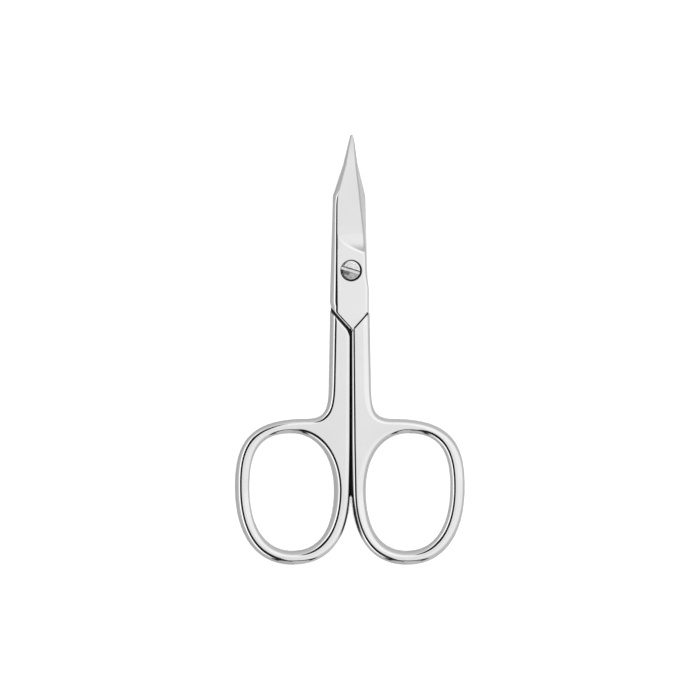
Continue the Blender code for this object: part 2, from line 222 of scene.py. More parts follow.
# How finely round shapes are divided
MERGE = 0.0001 * MM
OVERRUN = 1.0 * MM
CURVE_STEPS = 64
RIM_STEPS = 16
BEVEL_STEPS = 14
FACE_STEPS = 16
FACE_RIM_SHARE = 0.006
EDGE_STEPS = 5
SEAT_STEPS = 8
CREST_STEPS = 8
TIP_STEPS = 4
STATION_STEP = 0.3 * MM
TURN_STEPS = 96
THREAD_STEPS = 48
DOME_STEPS = 7
DOME_HOLE = 0.02
CHAMFER_STEPS = 4
SMOOTH_ANGLE = math.radians(30)
LEVEL = 0.999999

# Places in the list of finishes
POLISHED = 0
GROUND = 1
SLIDING = 2
DULL_SHADED = 3

# Where the faces that aren't polished lie: beside the parting, along the shoulders, past the edge
FINE = 0.01 * MM
PARTING_TOP_WALL = 1.3 * MM
PARTING_TOP_REACH = 14.8 * MM
PARTING_WALL = 0.35 * MM
LEDGE_LOW = 0.5 * MM
LEDGE_HIGH = 2.6 * MM
GROOVE_REACH = 0.6 * MM
RELIEF_BELOW = 0.3 * MM
RELIEF_ABOVE = 1.3 * MM
GROUND_OVER_EDGE = 1.2

# How far a face looks out of its half: limits for a steep wall, a seat and a blade's ground face
STEEP_FACING = 0.3
LEVEL_FACING = 0.9
FACE_FACING = 0.5


def ease(share):
    share = min(max(share, 0), 1)
    return share * share * (3 - 2 * share)


def between(points, place):
    """Read a broken line of (place, value) points, held level past its ends."""
    if place <= points[0][0]:
        return points[0][1]
    for (start, low), (stop, high) in zip(points, points[1:]):
        if place <= stop:
            return low + (high - low) * (place - start) / (stop - start)
    return points[-1][1]


# Values that nodes work out

NOISE_LOW = 0.3
NOISE_HIGH = 0.7


class NodeValue:
    """A number, vector or shape that nodes work out; plain signs do sums with it."""

    def __init__(self, socket):
        self.socket = socket
        self.tree = socket.id_data

    def __add__(self, other):
        return maths("ADD", self, other)

    def __sub__(self, other):
        return maths("SUBTRACT", self, other)

    def __rsub__(self, other):
        return maths("SUBTRACT", other, self)

    def __mul__(self, other):
        return maths("MULTIPLY", self, other)

    def __truediv__(self, other):
        return maths("DIVIDE", self, other)


def plug(target, value):
    """Link a worked-out value to an input, or set a plain one on it."""
    if isinstance(value, NodeValue):
        value.tree.links.new(value.socket, target)
    else:
        target.default_value = value


def node(tree, kind, inputs=(), **settings):
    """Add a node, set its properties, and fill its inputs by name or number."""
    made = tree.nodes.new(kind)
    for name, value in settings.items():
        setattr(made, name, value)
    for name, value in dict(inputs).items():
        plug(made.inputs[name], value)
    return made


def worked(tree, kind, inputs=(), output=0, **settings):
    """One output of a new node."""
    return NodeValue(node(tree, kind, inputs, **settings).outputs[output])


def maths(operation, *values):
    """Sum on numbers or on vectors, by the first value that nodes work out."""
    first = next(value for value in values if isinstance(value, NodeValue))
    kind = "ShaderNodeVectorMath" if first.socket.type == "VECTOR" else "ShaderNodeMath"
    return worked(first.tree, kind, enumerate(values), operation=operation)


def parts(vector):
    """A vector's x, y and z."""
    split = node(vector.tree, "ShaderNodeSeparateXYZ", {0: vector})
    return [NodeValue(output) for output in split.outputs]


def step_up(value, place, softness):
    """0 before a place and 1 after it, with a soft change between."""
    return worked(value.tree, "ShaderNodeMapRange", interpolation_type="SMOOTHSTEP", inputs={
        "Value": value, "From Min": place - softness, "From Max": place + softness})


def step_down(value, place, softness):
    return 1 - step_up(value, place, softness)


def band(value, low, high, softness):
    """1 between two places and 0 past them."""
    return step_up(value, low, softness) * step_down(value, high, softness)


def remap(value, low, high, from_low=NOISE_LOW, from_high=NOISE_HIGH):
    """Low at from_low, high at from_high, and level past them."""
    return worked(value.tree, "ShaderNodeMapRange", {
        "Value": value, "From Min": from_low, "From Max": from_high, "To Min": low, "To Max": high})


def mix(share, first, second):
    return worked(share.tree, "ShaderNodeMix", {0: share, 2: first, 3: second}, data_type="FLOAT")


# Camera, floor and light

CAMERA_HEIGHT = 1.5
CAMERA_PLACE = (0.03 * MM, -0.03 * MM, CAMERA_HEIGHT)
PHOTO_SPAN = 0.1467
SENSOR_WIDTH = 36.0


def make_camera():
    data = bpy.data.cameras.new("camera")
    data.sensor_width = SENSOR_WIDTH
    data.lens = SENSOR_WIDTH * (CAMERA_HEIGHT - MIDDLE) / PHOTO_SPAN
    data.clip_start = 0.01
    data.clip_end = 20.0
    camera = piece_from("camera", data)
    camera.location = CAMERA_PLACE
    bpy.context.scene.camera = camera


# Studio, in degrees from overhead: across to the right, and along towards the blades' tips.
# Each edge is a place, or two, and how softly the light changes there.
ROOM_GREY = 0.5
ROOM_GLOW = 0.1
ROOM_SIDE = (-68.0, 22.0)
PANEL_SIDE = (-46.0, 80.0, 2.0)
PANEL_FOOT = (-84.0, 8.0)
PANEL_HEAD = (38.0, 12.0)
PANEL_LEFT = 0.94
PANEL_RIGHT = 1.06
PANEL_MIDDLE = (3.0, 10.0)
HANDLE_SHADE = 0.94
HANDLE_EDGE = (-0.2, 1.0)
FOOT_SHADE = 0.62
FOOT_EDGE = (-42.0, 16.0)
GLOW_LIGHT = 0.14
GLOW_ALONG = (3.0, 22.0, 3.0)
GLOW_SIDE = (9.0, 4.0)
BRIGHT_LIGHT = 1.4
BRIGHT_SIDE = (-46.0, -24.0, 1.5)
BRIGHT_FOOT = (-50.0, 8.0)
DARK_LIGHT = 0.015
DARK_LEFT = -30.0
DARK_LEFT_SOFTNESS = 1.0
DARK_RIGHT = (-4.4, 0.6)
DARK_ALONG = (-74.0, 28.0, 4.0)
DARK_LEAN = 0.14
DARK_LEAN_START = 30.0
DARK_NARROWING = 1.6
DARK_CLOSING = 1.3
DARK_CLOSING_START = 50.0
LOW_LIGHT = 0.03
LOW_PLACE = 37.0
LOW_RISE = 0.8
LOW_HALF = (5.0, 1.5)
LOW_ACROSS = (-50.0, 50.0, 8.0)
LOW_HEAD = (-26.0, 4.0)


def make_studio():
    """Soft studio: a wide panel overhead, a lit and a dark strip on its left, a dark band at its foot."""
    world = bpy.data.worlds.new("studio")
    world.use_nodes = True
    tree = world.node_tree
    tree.nodes.clear()
    x, y, z = parts(worked(tree, "ShaderNodeTexCoord", output="Generated"))
    across = maths("DEGREES", maths("ARCTAN2", x, z))
    along = maths("DEGREES", maths("ARCTAN2", y, z))
    zenith = maths("DEGREES", maths("ARCCOSINE", z))

    panel_ends = step_up(along, *PANEL_FOOT) * step_down(along, *PANEL_HEAD)
    shade = mix(step_up(across, *PANEL_MIDDLE), PANEL_LEFT, PANEL_RIGHT)
    shade *= mix(step_up(along, *HANDLE_EDGE), HANDLE_SHADE, 1.0)
    shade *= mix(step_up(along, *FOOT_EDGE), FOOT_SHADE, 1.0)
    glow = band(along, *GLOW_ALONG) * GLOW_LIGHT * step_down(across, *GLOW_SIDE)
    room = step_up(across, *ROOM_SIDE) * ROOM_GLOW + ROOM_GREY
    light = mix(band(across, *PANEL_SIDE) * panel_ends, room, shade + glow)

    bright = band(across, *BRIGHT_SIDE) * panel_ends * step_up(along, *BRIGHT_FOOT)
    light = mix(bright, light, BRIGHT_LIGHT)

    lean = maths("MAXIMUM", (along + DARK_LEAN_START) * -DARK_LEAN, 0)
    leaned = across - lean
    closing = maths("MAXIMUM", along * -DARK_CLOSING - DARK_CLOSING_START, 0)
    from_left = leaned - DARK_LEFT - (lean * DARK_NARROWING + closing)
    dark = step_up(from_left, 0, DARK_LEFT_SOFTNESS) * step_down(leaned, *DARK_RIGHT)
    light = mix(dark * band(along, *DARK_ALONG), light, DARK_LIGHT)

    off_low = maths("ABSOLUTE", zenith - (maths("ABSOLUTE", across) * LOW_RISE + LOW_PLACE))
    low = step_down(off_low, *LOW_HALF) * band(across, *LOW_ACROSS) * step_down(along, *LOW_HEAD)
    light = mix(low, light, LOW_LIGHT)

    background = worked(tree, "ShaderNodeBackground", {"Color": (1, 1, 1, 1), "Strength": light})
    node(tree, "ShaderNodeOutputWorld", {"Surface": background})
    bpy.context.scene.world = world


FLOOR_RADIUS = 2.2
FLOOR_RISE = 1.2
FLOOR_SHARES = (0.02, 0.2, 0.6, 1.0)
FLOOR_STEPS = 8
FLOOR_PALE = 0.9


def make_floor():
    """Pale floor that turns up into a backdrop far from the object."""
    profile = [(FLOOR_RADIUS * share, 0) for share in FLOOR_SHARES]
    for step in range(1, FLOOR_STEPS + 1):
        turn = math.pi / 2 * step / FLOOR_STEPS
        profile.append((FLOOR_RADIUS + FLOOR_RISE * math.sin(turn), FLOOR_RISE * (1 - math.cos(turn))))
    floor = turned("floor", profile, Vector(), open_end=True)
    floor.data.shade_smooth()
    material = bpy.data.materials.new("pale_floor")
    material.use_nodes = True
    surface = material.node_tree.nodes["Principled BSDF"]
    surface.inputs["Base Color"].default_value = (FLOOR_PALE, FLOOR_PALE, FLOOR_PALE, 1)
    surface.inputs["Roughness"].default_value = 0.9
    surface.inputs["Specular IOR Level"].default_value = 0.0
    floor.data.materials.append(material)
    floor.visible_glossy = False


LAMP_HEIGHT = 1.5
LAMP_SIZE = 0.5
LAMP_POWER = 24.0


def make_lamp():
    """Soft lamp overhead for the floor; the steel mirrors the studio alone."""
    data = bpy.data.lights.new("overhead_lamp", "AREA")
    data.size = LAMP_SIZE
    data.energy = LAMP_POWER
    lamp = piece_from("overhead_lamp", data)
    lamp.location.z = LAMP_HEIGHT
    lamp.visible_glossy = False
    lamp.visible_camera = False


# Finishes

# Greys and roughnesses, at a noise pattern's lows and at its highs
POLISHED_GREY = (0.79, 0.83)
POLISHED_ROUGH = (0.045, 0.085)
HAIRLINE_ROUGH = (0, 0.06)
HAIRLINE_SPAN = (0.68, 0.74)
WAVE_SHARE = 14
GROUND_GREY = (0.745, 0.785)
GROUND_ROUGH = (0.06, 0.13)
SLIDING_GREY = (0.7, 0.8)
SLIDING_ROUGH = (0.1, 0.17)
WORN_RINGS = (4 * MM, 8 * MM)
# The dull finish's near-black grey is painted shade for the recesses and the parting.
DULL_SHADE_GREY = (0.025, 0.06)
DULL_ROUGH = (0.4, 0.55)
SCREW_GREY = (0.7, 0.84)
SCREW_ROUGH = (0.2, 0.1)
SCREW_SPAN = (0.35, 0.65)

# Painted shade on the rims beside the parting, where they would mirror the dark gap; from the middle line
# and below the screw's axis
PARTING_SHADE = 0.94
PARTING_SHADE_HALF = (2.2 * MM, 0.7 * MM)
PARTING_SHADE_TOP = (PIVOT.y - 12.5 * MM, 0.3 * MM)
PARTING_SHADE_MIDDLE = PIVOT.y - 36.0 * MM
PARTING_SHADE_LOW = PIVOT.y - 45.0 * MM
PARTING_SHADE_FOOT = PIVOT.y - 50.0 * MM
PARTING_SHADE_LEAN_MIDDLE = 0.68
PARTING_SHADE_LEAN_LOW = 0.54
PARTING_SHADE_LEAN_FALL = 0.2
PARTING_SHADE_LEFT_SHARE = 0.4
PARTING_SHADE_RIGHT_SHARE = 1.1
PARTING_SHADE_SOFTNESS = 0.1

# Marks on the screw's head, across its slot and along it: painted shade on the head's lower half and along
# one wall of the slot, and a dark patch
WEAR_WAVER = 0.35 * MM
HEAD_FACE = (HEAD_TOP - 0.5 * SLOT_DEPTH, 0.05 * MM)
LOWER_HALF = (0, 0.5 * SLOT_WIDTH)
LOWER_HALF_SHADE = 0.3
SLOT_SHADE = 0.88
SLOT_SHADE_ACROSS = (0.2 * SLOT_WIDTH, 1.5 * SLOT_WIDTH, 0.1 * MM)
PATCH = 0.62
PATCH_ACROSS = (-1.45 * SLOT_WIDTH, -0.5 * SLOT_WIDTH, 0.12 * MM)
PATCH_ALONG = (-0.1 * MM, 0.15 * MM)
RING_SHARE = 0.4


def new_finish(name):
    """Bare metal: its material, its surface, and the place that its patterns read."""
    material = bpy.data.materials.new(name)
    material.use_nodes = True
    tree = material.node_tree
    surface = tree.nodes["Principled BSDF"]
    surface.inputs["Metallic"].default_value = 1.0
    return material, surface, worked(tree, "ShaderNodeTexCoord", output="Object")


def coat(surface, tint, rough, relief, strength, depth):
    """Give a surface its grey, its roughness and its relief."""
    tree = tint.tree
    grey = worked(tree, "ShaderNodeCombineColor", {0: tint, 1: tint, 2: tint})
    uneven = worked(tree, "ShaderNodeBump", {"Height": relief, "Strength": strength, "Distance": depth})
    plug(surface.inputs["Base Color"], grey)
    plug(surface.inputs["Roughness"], rough)
    plug(surface.inputs["Normal"], uneven)


def mapped(place, **settings):
    inputs = {name.capitalize(): value for name, value in settings.items()}
    return worked(place.tree, "ShaderNodeMapping", {"Vector": place, **inputs})


def noise(place, scale, detail=3.0, stretch=(1, 1, 1), turn=0.0):
    stretched = mapped(place, scale=stretch, rotation=(0, 0, turn))
    return worked(place.tree, "ShaderNodeTexNoise", {
        "Vector": stretched, "Scale": scale, "Detail": detail})


def lathe_rings(place, scale):
    """Distance from the middle of a turned face, and fine rings round it."""
    reach = worked(place.tree, "ShaderNodeVectorMath", {0: place}, output="Value", operation="LENGTH")
    rings = worked(place.tree, "ShaderNodeTexNoise", {"W": reach, "Scale": scale, "Detail": 2.0},
                   noise_dimensions="1D")
    return reach, rings


def painted_parting_shade(place):
    """1 on most of the steel, and lower on the steep rims that face each other beside the parting: painted
    shade standing in for their dark reflection of the gap.
    """
    x, y, _ = parts(place)
    facing = parts(worked(place.tree, "ShaderNodeTexCoord", output="Normal"))[0]
    beside = step_down(maths("ABSOLUTE", x - PARTING_OFFSET), *PARTING_SHADE_HALF)
    lean = facing * maths("SIGN", PARTING_OFFSET - x)
    least = remap(y, PARTING_SHADE_LEAN_MIDDLE, PARTING_SHADE_LEAN_LOW, PARTING_SHADE_MIDDLE, PARTING_SHADE_LOW)
    share = remap(step_up(x, PARTING_OFFSET, FINE), PARTING_SHADE_LEFT_SHARE, PARTING_SHADE_RIGHT_SHARE, 0, 1)
    least -= share * remap(y, 0, PARTING_SHADE_LEAN_FALL, PARTING_SHADE_LOW, PARTING_SHADE_FOOT)
    dark = beside * step_down(y, *PARTING_SHADE_TOP) * step_up(lean - least, 0, PARTING_SHADE_SOFTNESS)
    return 1 - dark * PARTING_SHADE


def polished_steel():
    """Mirror-polished stainless steel with faint buffing streaks and the odd hairline."""
    material, surface, place = new_finish("polished_steel")
    cloud = noise(place, scale=90.0, detail=2.0)
    streaks = noise(place, scale=900.0, stretch=(1, 0.06, 1))
    hairlines = noise(place, scale=2600.0, detail=1.0, stretch=(1, 0.02, 1), turn=0.3)
    waves = noise(place, scale=160.0, detail=1.0)
    rough = remap(streaks, *POLISHED_ROUGH) + remap(hairlines, *HAIRLINE_ROUGH, *HAIRLINE_SPAN)
    # The tint is darkened by painted shade on the rims beside the parting.
    coat(surface, tint=remap(cloud, *POLISHED_GREY) * painted_parting_shade(place), rough=rough,
         relief=waves * WAVE_SHARE + streaks, strength=1.0, depth=0.0006 * MM)
    return material


def ground_steel():
    """Blade faces: polished over fine marks that run across the blade from the wheel."""
    material, surface, place = new_finish("ground_steel")
    cloud = noise(place, scale=120.0, detail=2.0)
    marks = noise(place, scale=1600.0, stretch=(0.05, 1, 0.05), turn=0.12)
    coat(surface, tint=remap(cloud, *GROUND_GREY), rough=remap(marks, *GROUND_ROUGH),
         relief=marks, strength=0.08, depth=0.002 * MM)
    return material


def sliding_steel():
    """Faces that slide on each other: satin, with rings worn round the screw."""
    material, surface, place = new_finish("sliding_steel")
    reach, rings = lathe_rings(mapped(place, location=-PIVOT), scale=9000.0)
    grain = noise(place, scale=700.0, stretch=(1, 0.08, 1), turn=0.5)
    pattern = mix(remap(reach, 1, 0, *WORN_RINGS), grain, rings)
    coat(surface, tint=remap(pattern, *SLIDING_GREY), rough=remap(pattern, *SLIDING_ROUGH),
         relief=pattern, strength=0.12, depth=0.003 * MM)
    return material


def dull_steel():
    """Bores, parting walls and grooves, left as the cutter made them, in a near-black grey that is painted
    shade.
    """
    material, surface, place = new_finish("dull_steel")
    cloud = noise(place, scale=400.0, detail=4.0)
    lines = noise(place, scale=1500.0, detail=2.0, stretch=(1, 1, 0.1))
    coat(surface, tint=remap(cloud, *DULL_SHADE_GREY), rough=remap(lines, *DULL_ROUGH),
         relief=lines, strength=0.3, depth=0.01 * MM)
    return material


def screw_steel():
    """Turned steel: fine rings from the lathe and uneven wear from screwdrivers."""
    material, surface, place = new_finish("turned_steel")
    centred = mapped(place, location=-PIVOT)
    _, rings = lathe_rings(centred * (1, 1, 0), scale=14000.0)
    wear = noise(place, scale=1400.0, stretch=(1, 2.2, 1), turn=-SLOT_ANGLE)
    along, over, height = parts(mapped(centred, rotation=(0, 0, -SLOT_ANGLE)))
    over += (wear - 0.5) * WEAR_WAVER
    on_top = step_up(height, *HEAD_FACE)
    # Painted shade: the head's lower half is darker, and so is one wall of the slot below the head's face.
    shaded_lower_half = on_top * step_down(over, *LOWER_HALF)
    slot_shade = band(over, *SLOT_SHADE_ACROSS) * (1 - on_top)
    # A dark patch on the head's face beside the slot.
    patch = step_down(along, *PATCH_ALONG) * on_top * band(over, *PATCH_ACROSS)
    dark = maths("MAXIMUM", slot_shade * SLOT_SHADE, patch * PATCH)
    tint = remap(wear, *SCREW_GREY, *SCREW_SPAN) - shaded_lower_half * LOWER_HALF_SHADE
    coat(surface, tint=tint * (1 - dark), rough=remap(wear, *SCREW_ROUGH, *SCREW_SPAN),
         relief=rings * RING_SHARE + wear, strength=0.5, depth=0.008 * MM)
    return material


# Mesh helpers


def piece_from(name, data):
    piece = bpy.data.objects.new(name, data)
    bpy.context.scene.collection.objects.link(piece)
    return piece


def mesh_from(name, bm, mesh=None):
    """Mesh of a sketch, with its doubles merged and its faces outwards."""
    bmesh.ops.remove_doubles(bm, verts=bm.verts, dist=MERGE)
    bmesh.ops.recalc_face_normals(bm, faces=bm.faces)
    mesh = mesh or bpy.data.meshes.new(name)
    bm.to_mesh(mesh)
    bm.free()
    return mesh


def baked_mesh(name, piece, *others):
    """Plain mesh of a piece with its modifiers applied; the pieces that made it are removed."""
    bpy.context.view_layer.update()
    evaluated = piece.evaluated_get(bpy.context.evaluated_depsgraph_get())
    mesh = bpy.data.meshes.new_from_object(evaluated)
    mesh.name = name
    bm = bmesh.new()
    bm.from_mesh(mesh)
    for used in (piece, *others):
        bpy.data.objects.remove(used, do_unlink=True)
    return mesh_from(name, bm, mesh)


def combined(name, base, steps):
    """Mesh of base after cutting, joining or trimming it with other pieces, one by one."""
    for operation, other in steps:
        modifier = base.modifiers.new(other.name, "BOOLEAN")
        modifier.operation = operation
        modifier.solver = "MANIFOLD"
        modifier.object = other
    return baked_mesh(name, base, *[other for _, other in steps])


def loft(name, rings, open_end=False):
    """Solid through rings of points, closed at its start, and at its end unless that is left open."""
    bm = bmesh.new()
    rows = [[bm.verts.new(point) for point in ring] for ring in rings]
    for row, following in zip(rows, rows[1:]):
        for place in range(len(row)):
            before = place - 1
            bm.faces.new((row[before], row[place], following[place], following[before]))
    bm.faces.new(rows[0])
    if not open_end:
        bm.faces.new(rows[-1])
    return piece_from(name, mesh_from(name, bm))


def turned(name, profile, centre=PIVOT, open_end=False):
    """Solid turned round an upright axis from (radius, height) points."""
    rings = []
    for radius, height in profile:
        turns = [math.tau * step / TURN_STEPS for step in range(TURN_STEPS)]
        rings.append([centre + Vector((radius * math.cos(turn), radius * math.sin(turn), height))
                      for turn in turns])
    return loft(name, rings, open_end)


# Geometry Nodes: rounded plate


def geometry_tree(name, inputs):
    """New node tree, and its inputs by name, with the shape that it is given first among them."""
    tree = bpy.data.node_groups.new(name, "GeometryNodeTree")
    inputs = {"Geometry": "Geometry", **inputs}
    for label, kind in inputs.items():
        tree.interface.new_socket(label, in_out="INPUT", socket_type="NodeSocket" + kind)
    tree.interface.new_socket("Geometry", in_out="OUTPUT", socket_type="NodeSocketGeometry")
    given = tree.nodes.new("NodeGroupInput")
    return tree, {label: NodeValue(given.outputs[label]) for label in inputs}


def finish_tree(shape, finish):
    """Every tree ends in plain geometry that carries its finish."""
    plain = worked(shape.tree, "GeometryNodeRealizeInstances", {"Geometry": shape})
    finished_shape = worked(shape.tree, "GeometryNodeSetMaterial", {"Geometry": plain, "Material": finish})
    node(shape.tree, "NodeGroupOutput", {0: finished_shape})
    return shape.tree


def grown(name, carrier, tree, values):
    """Plain piece that a node tree makes from a carrier, with its inputs set by name."""
    modifier = carrier.modifiers.new(tree.name, "NODES")
    modifier.node_group = tree
    for item in tree.interface.items_tree:
        if item.in_out == "INPUT" and item.name in values:
            modifier[item.identifier] = values[item.name]
    return piece_from(name, baked_mesh(name, carrier))


def kept(shape, **values):
    """A shape whose points keep some values, and then each value kept."""
    keep = node(shape.tree, "GeometryNodeCaptureAttribute", {0: shape})
    for label, value in values.items():
        keep.capture_items.new("VECTOR" if value.socket.type == "VECTOR" else "FLOAT", label)
        plug(keep.inputs[label], value)
    return [NodeValue(keep.outputs[place]) for place in range(len(values) + 1)]


def rounded_plate_tree():
    """Plate with rounded rims: each outline point's radius is how wide its rim is rounded."""
    tree, given = geometry_tree("rounded_plate", {
        "Thickness": "Float", "Flat Rim": "Float", "Rim Softness": "Float",
        "Rim Steps": "Int", "Finish": "Material"})
    half = given["Thickness"] * 0.5
    steps = given["Rim Steps"]
    last_row = steps * 2 + 3

    points = worked(tree, "GeometryNodeResampleCurve", {"Curve": given["Geometry"]}, mode="EVALUATED")
    outline, place, outward, width = kept(
        points, Place=worked(tree, "GeometryNodeInputPosition"),
        Outward=maths("CROSS_PRODUCT", worked(tree, "GeometryNodeInputTangent"), (0, 0, 1)),
        Width=worked(tree, "GeometryNodeInputRadius"))
    line = worked(tree, "GeometryNodeCurvePrimitiveLine", {"End": (0, 0, 1)})
    rows = worked(tree, "GeometryNodeResampleCurve", {"Curve": line, "Count": last_row + 1}, mode="COUNT")
    profile, row = kept(rows, Row=worked(tree, "GeometryNodeInputIndex"))

    away = row - last_row * 0.5
    ring = maths("ABSOLUTE", away) - 0.5
    angle = maths("MINIMUM", ring / steps, 1) * (math.pi / 2)
    rim = maths("MAXIMUM", ring - steps, 0)
    inset = rim * given["Flat Rim"] + width * (1 - maths("COSINE", angle))
    drop = maths("MINIMUM", width * width / given["Rim Softness"], half)
    height = half - drop + drop * maths("SINE", angle)
    lifted = worked(tree, "ShaderNodeCombineXYZ", {2: half + height * maths("SIGN", away)})
    swept = worked(tree, "GeometryNodeCurveToMesh", {"Curve": outline, "Profile Curve": profile})
    wall = worked(tree, "GeometryNodeSetPosition", {
        "Geometry": swept, "Position": place - outward * inset + lifted})

    shrunk = worked(tree, "GeometryNodeSetPosition", {
        "Geometry": outline, "Position": place - outward * (width + given["Flat Rim"])})
    bottom = worked(tree, "GeometryNodeFillCurve", {"Curve": shrunk}, mode="TRIANGLES")
    raised = worked(tree, "ShaderNodeCombineXYZ", {2: given["Thickness"]})
    top = worked(tree, "GeometryNodeSetPosition", {"Geometry": bottom, "Offset": raised})
    joined = tree.nodes.new("GeometryNodeJoinGeometry")
    for part in (wall, top, worked(tree, "GeometryNodeFlipFaces", {"Mesh": bottom})):
        plug(joined.inputs[0], part)
    merged = worked(tree, "GeometryNodeMergeByDistance", {
        "Geometry": NodeValue(joined.outputs[0]), "Distance": MERGE})
    return finish_tree(merged, given["Finish"])


def outline_curve(name, loops):
    """Curve object through loops of (point, handle before, handle after, rim width)."""
    curve = bpy.data.curves.new(name, "CURVE")
    curve.dimensions = "3D"
    for loop in loops:
        spline = curve.splines.new("BEZIER")
        spline.bezier_points.add(len(loop) - 1)
        spline.use_cyclic_u = True
        spline.resolution_u = CURVE_STEPS
        places = [Vector((*place, 0)) for place, _, _, _ in loop]
        for number, (_, before, after, width) in enumerate(loop):
            knot = spline.bezier_points[number]
            centre = places[number]
            to_last = (places[number - 1] - centre) / 3
            to_next = (places[(number + 1) % len(places)] - centre) / 3
            knot.co = centre
            knot.radius = width
            knot.handle_left_type = "FREE"
            knot.handle_right_type = "FREE"
            knot.handle_left = centre + (Vector((*before, 0)) if before else to_last)
            knot.handle_right = centre + (Vector((*after, 0)) if after else to_next)
    return piece_from(name, curve)


def rounded_plate(name, loops, tree, material):
    return grown(name, outline_curve(name + "_outline", loops), tree, {
        "Thickness": THICKNESS, "Flat Rim": FLAT_RIM, "Rim Softness": RIM_SOFTNESS,
        "Rim Steps": RIM_STEPS, "Finish": material})


# Shanks and bows


def parting_line(side):
    """Distance of a half's parting wall from the middle line, on its own side."""
    return side * PARTING_OFFSET + PARTING_GAP / 2


def shoulder_height(run, side):
    """Height of a half's shoulder, at a distance from the middle line on its own side."""
    return (run - SHOULDER_HALF) * math.tan(SHOULDER_ANGLE) - SHOULDER_REACH - SHOULDER_DROP[side]


def sideways(share, point, toward):
    """Handle that leaves a point sideways, for a share of the way to another."""
    return share * (toward[0] - point[0]), 0


def upright(share, point, toward):
    """Handle that leaves a point straight up or down, for a share of the way to another."""
    return 0, share * (toward[1] - point[1])


def handle_outline(side):
    """Outer outline of a shank and its bow, clockwise on the right."""
    parting = parting_line(side)
    top = (BOW_TOP_MIDDLE, -BOW_TOP_REACH)
    outer = (BOW_REACH, -BOW_OUTER_REACH)
    foot = (BOW_FOOT_MIDDLE, -HANDLE_REACH)
    inner = (parting, -BOW_INNER_REACH)
    flare = (FLARE_HALF, -FLARE_REACH)
    end_half = (SHANK_TOP_HALF - parting) / 2
    end_low = -SHANK_TOP_REACH - end_half
    pull = ROUND_PULL * end_half
    return [
        ((SHANK_TOP_HALF, end_low), (0, pull), None, ROUNDING),
        (flare, None, upright(FLARE_DROP_SHARE, flare, top), ROUNDING),
        (top, sideways(FLARE_TURN_SHARE, top, flare), sideways(TOP_TURN_SHARE, top, outer), TOP_ROUNDING),
        (outer, upright(SIDE_TURN_SHARE, outer, top), upright(LOWER_OUTER_SHARE, outer, foot), ROUNDING),
        (foot, sideways(LOWER_OUTER_SHARE, foot, outer), sideways(LOWER_INNER_SHARE, foot, inner),
         FOOT_ROUNDING),
        (inner, upright(LOWER_INNER_SHARE, inner, foot), None, PARTING_FOOT_ROUNDING),
        ((parting, -PARTING_MIDDLE_REACH), None, None, PARTING_MIDDLE_ROUNDING),
        ((parting, end_low), None, (0, pull), PARTING_ROUNDING),
        ((parting + end_half, -SHANK_TOP_REACH), (-pull, 0), (pull, 0), TOP_ROUNDING),
    ]


def hole_outline():
    """Finger hole: the bow's outline less its ring, clockwise on the right."""
    top = (HOLE_TOP_MIDDLE, -BOW_TOP_REACH - RING_WIDTH)
    outer = (BOW_REACH - RING_WIDTH, -BOW_OUTER_REACH)
    foot = (BOW_FOOT_MIDDLE, -HANDLE_REACH + RING_FOOT_WIDTH)
    inner = (HOLE_INNER_MIDDLE, -BOW_INNER_REACH)
    points = (top, outer, foot, inner)
    shares = (UPPER_OUTER_SHARE, LOWER_OUTER_SHARE, LOWER_INNER_SHARE, UPPER_INNER_SHARE)
    rims = (HOLE_TOP_ROUNDING, HOLE_OUTER_ROUNDING, HOLE_FOOT_ROUNDING, INNER_ROUNDING)
    outline = []
    for number, point in enumerate(points):
        leave = upright if point in (outer, inner) else sideways
        before = leave(shares[number - 1], point, points[number - 1])
        after = leave(shares[number], point, points[(number + 1) % len(points)])
        outline.append((point, before, after, rims[number]))
    return outline


def trimmer_outline(side):
    """Everything below a shank's shoulder, whose corner turns down into the parting."""
    beside = parting_line(side) - FLAT_RIM
    far = 3 * BOW_REACH
    turn = CORNER_TURN[side]
    rim = SHOULDER_RIM[side]
    run = turn * math.cos(SHOULDER_ANGLE)
    start = (beside + run, shoulder_height(beside + run, side))
    start_pull = (-CORNER_PULL * run, -CORNER_PULL * run * math.tan(SHOULDER_ANGLE))
    stop = (beside, shoulder_height(beside, side) - turn)
    low = -HANDLE_REACH - BOW_REACH
    return [
        ((far, shoulder_height(far, side)), None, None, rim),
        ((far, low), None, None, FLAT_RIM),
        ((-far, low), None, None, FLAT_RIM),
        ((-far, stop[1]), None, None, FLAT_RIM),
        (stop, None, (0, CORNER_PULL * turn), PARTING_ROUNDING),
        (start, start_pull, None, CORNER_RIM[side]),
        ((SHANK_TOP_HALF, shoulder_height(SHANK_TOP_HALF, side)), None, None, rim),
    ]


def placed(loop, side, reverse):
    """Loop drawn for the right side, placed on a half's own side and turned the right way round."""
    made = []
    for point, before, after, width in loop:
        spot = (side * point[0], point[1] + PIVOT.y)
        before = (side * before[0], before[1]) if before else None
        after = (side * after[0], after[1]) if after else None
        made.append((spot, after, before, width) if reverse else (spot, before, after, width))
    return made[::-1] if reverse else made


# Blades


def rise(x, y):
    """Upward curve of the blades: their sliding faces are turned about the screw's axis."""
    along = max(math.hypot(x, y) - CURVE_START, 0) if y > 0 else 0
    return CURVE_RADIUS - math.sqrt(CURVE_RADIUS**2 - along**2)


def blade_middle(y):
    return between([(TOWER_REACH, BLADE_OFFSET), (BLADE_REACH, TIP_OFFSET)], y)


def tip_share(y):
    """How far a blade is narrowed where its tip is rounded."""
    past = (y - BLADE_REACH + TIP_ROUND) / TIP_ROUND
    return math.sqrt(max(1 - max(past, 0) ** 2, LEAST_SHARE))


def rounded_corner(back, foot):
    """Smaller of two widths, eased where a shield's back runs into its foot."""
    near = max(FOOT_BLEND - abs(back - foot), 0)
    return min(back, foot) - near**2 / (4 * FOOT_BLEND)


